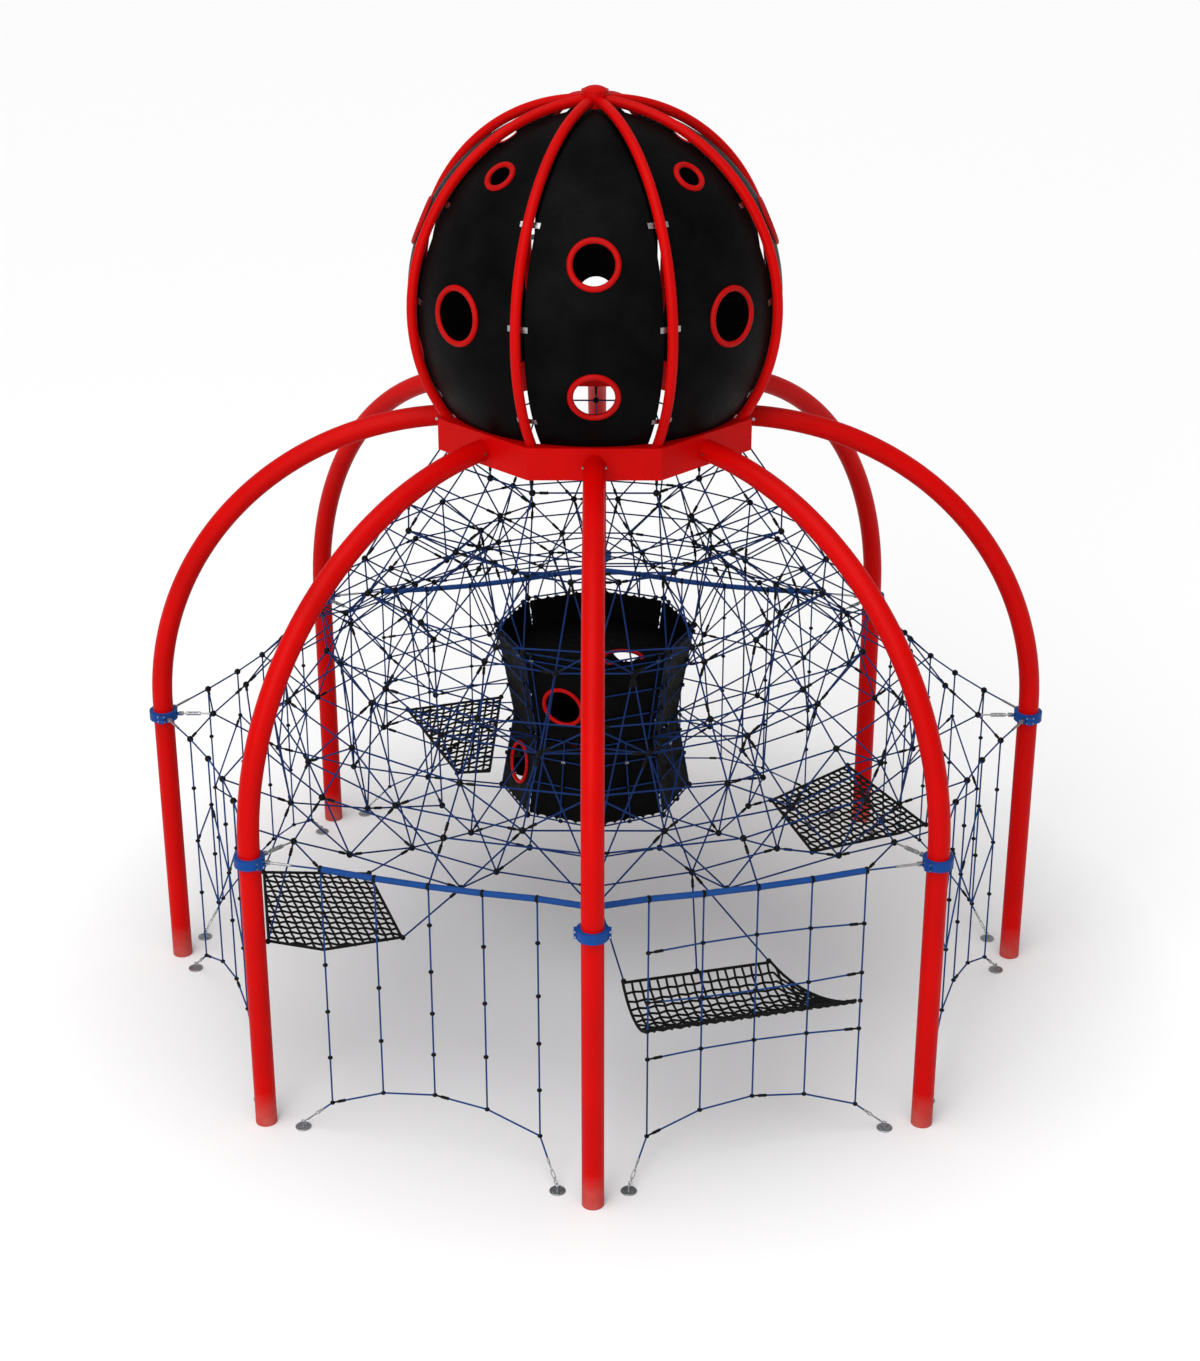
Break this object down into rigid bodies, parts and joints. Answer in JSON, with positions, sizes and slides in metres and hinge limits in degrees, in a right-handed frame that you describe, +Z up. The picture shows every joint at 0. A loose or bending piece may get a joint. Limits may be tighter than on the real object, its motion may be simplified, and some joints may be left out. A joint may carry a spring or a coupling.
{
  "type": "dome climber",
  "caption": "Playground climbing dome: bent tube arches, a ring beam with a ribbed dome on top, and a rope net with a rubber tunnel, mesh mats and rope curtains.",
  "frame": {"origin": "on the ground, on the dome's vertical axis", "axes": "+Z up; a leg stands on +X and on every 45 degrees round from it; -Y is the front"},
  "size_m": [10.94, 10.94, 11.0292],
  "materials": {
    "red_tube": "satin powder coat",
    "black_panel": "smooth sheet, low sheen",
    "red_rim": "moulded, satin gloss",
    "clip_steel": "brushed stainless",
    "galvanised": "dull galvanised",
    "blue_collar": "satin powder coat",
    "blue_rope": "braided polyester over steel strands",
    "blue_sleeve": "woven tubular cover",
    "black_connector": "moulded polyamide",
    "mat_rope": "thick black webbing",
    "membrane_rubber": "fabric-reinforced rubber"
  },
  "bodies": {
    "frame_and_net": {"arch_1": "red_tube", "rib_1": "red_tube", "panel_1": "black_panel", "arch_2": "red_tube", "rib_2": "red_tube", "panel_2": "black_panel", "arch_3": "red_tube", "rib_3": "red_tube", "panel_3": "black_panel", "arch_4": "red_tube", "rib_4": "red_tube", "panel_4": "black_panel", "arch_5": "red_tube", "rib_5": "red_tube", "panel_5": "black_panel", "arch_6": "red_tube", "rib_6": "red_tube", "panel_6": "black_panel", "arch_7": "red_tube", "rib_7": "red_tube", "panel_7": "black_panel", "arch_8": "red_tube", "rib_8": "red_tube", "panel_8": "black_panel", "ring_beam": "red_tube", "arch_end_bolts": "clip_steel", "apex_hub": "red_tube", "apex_cap": "red_tube", "porthole_rims": "red_rim", "panel_clips": "clip_steel", "collar_inner_halves": "blue_collar", "collar_outer_halves": "blue_collar", "collar_bolts": "clip_steel", "turnbuckle_rods": "galvanised", "fork_pins": "clip_steel", "border_ropes": "blue_rope", "border_sleeves": "blue_sleeve", "border_end_fittings": "galvanised", "upper_net_ropes": "blue_rope", "middle_net_ropes": "blue_rope", "floor_net_ropes": "blue_rope", "diagonal_ropes_upper": "blue_rope", "diagonal_ropes_lower": "blue_rope", "net_connectors": "black_connector", "rope_ferrules": "black_connector", "curtain_ropes": "blue_rope", "curtain_connectors": "black_connector", "ground_anchors": "galvanised", "mesh_mats": "mat_rope", "hammock": "mat_rope", "tunnel_membranes": "membrane_rubber", "tunnel_rims": "red_rim"},
    "turnbuckle_body_1": {"turnbuckle_1": "galvanised"},
    "turnbuckle_body_2": {"turnbuckle_2": "galvanised"},
    "turnbuckle_body_3": {"turnbuckle_3": "galvanised"},
    "turnbuckle_body_4": {"turnbuckle_4": "galvanised"},
    "turnbuckle_body_5": {"turnbuckle_5": "galvanised"},
    "turnbuckle_body_6": {"turnbuckle_6": "galvanised"},
    "turnbuckle_body_7": {"turnbuckle_7": "galvanised"},
    "turnbuckle_body_8": {"turnbuckle_8": "galvanised"}
  },
  "joints": [
    {"name": "turnbuckle_turn_1", "type": "hinge", "parent": "frame_and_net", "child": "turnbuckle_body_1", "pos_m": [4.936, 0, 3.392], "axis": [1, 0, 0], "range_deg": [-180, 180]},
    {"name": "turnbuckle_turn_2", "type": "hinge", "parent": "frame_and_net", "child": "turnbuckle_body_2", "pos_m": [3.49028, 3.49028, 3.392], "axis": [0.7071, 0.7071, 0], "range_deg": [-180, 180]},
    {"name": "turnbuckle_turn_3", "type": "hinge", "parent": "frame_and_net", "child": "turnbuckle_body_3", "pos_m": [0, 4.936, 3.392], "axis": [0, 1, 0], "range_deg": [-180, 180]},
    {"name": "turnbuckle_turn_4", "type": "hinge", "parent": "frame_and_net", "child": "turnbuckle_body_4", "pos_m": [-3.49028, 3.49028, 3.392], "axis": [-0.7071, 0.7071, 0], "range_deg": [-180, 180]},
    {"name": "turnbuckle_turn_5", "type": "hinge", "parent": "frame_and_net", "child": "turnbuckle_body_5", "pos_m": [-4.936, 0, 3.392], "axis": [-1, 0, 0], "range_deg": [-180, 180]},
    {"name": "turnbuckle_turn_6", "type": "hinge", "parent": "frame_and_net", "child": "turnbuckle_body_6", "pos_m": [-3.49028, -3.49028, 3.392], "axis": [-0.7071, -0.7071, 0], "range_deg": [-180, 180]},
    {"name": "turnbuckle_turn_7", "type": "hinge", "parent": "frame_and_net", "child": "turnbuckle_body_7", "pos_m": [0, -4.936, 3.392], "axis": [0, -1, 0], "range_deg": [-180, 180]},
    {"name": "turnbuckle_turn_8", "type": "hinge", "parent": "frame_and_net", "child": "turnbuckle_body_8", "pos_m": [3.49028, -3.49028, 3.392], "axis": [0.7071, -0.7071, 0], "range_deg": [-180, 180]}
  ]
}
